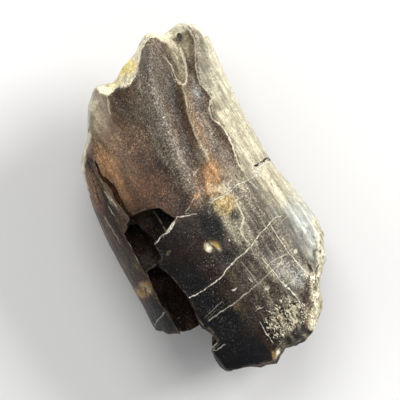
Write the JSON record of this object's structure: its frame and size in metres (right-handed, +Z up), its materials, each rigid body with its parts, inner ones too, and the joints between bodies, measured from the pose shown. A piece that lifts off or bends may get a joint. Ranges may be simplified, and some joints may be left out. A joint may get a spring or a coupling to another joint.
{
  "type": "fossil iguanodon tooth",
  "caption": "Worn fossil dinosaur tooth with a ridged enamel face, a broken window in its side and a broken root end, lying on its back.",
  "frame": {"origin": "middle of the footprint, on the surface that the tooth lies on", "axes": "+Y along the tooth from the broken base to the worn tip, +X across it, +Z up out of the ridged enamel face"},
  "size_m": [0.013, 0.022, 0.011],
  "materials": {
    "fossil_enamel": "worn dark grey-brown fossil enamel with a low gloss, cream where it is chipped"
  },
  "bodies": {
    "root": {"tooth": "fossil_enamel"}
  },
  "joints": []
}
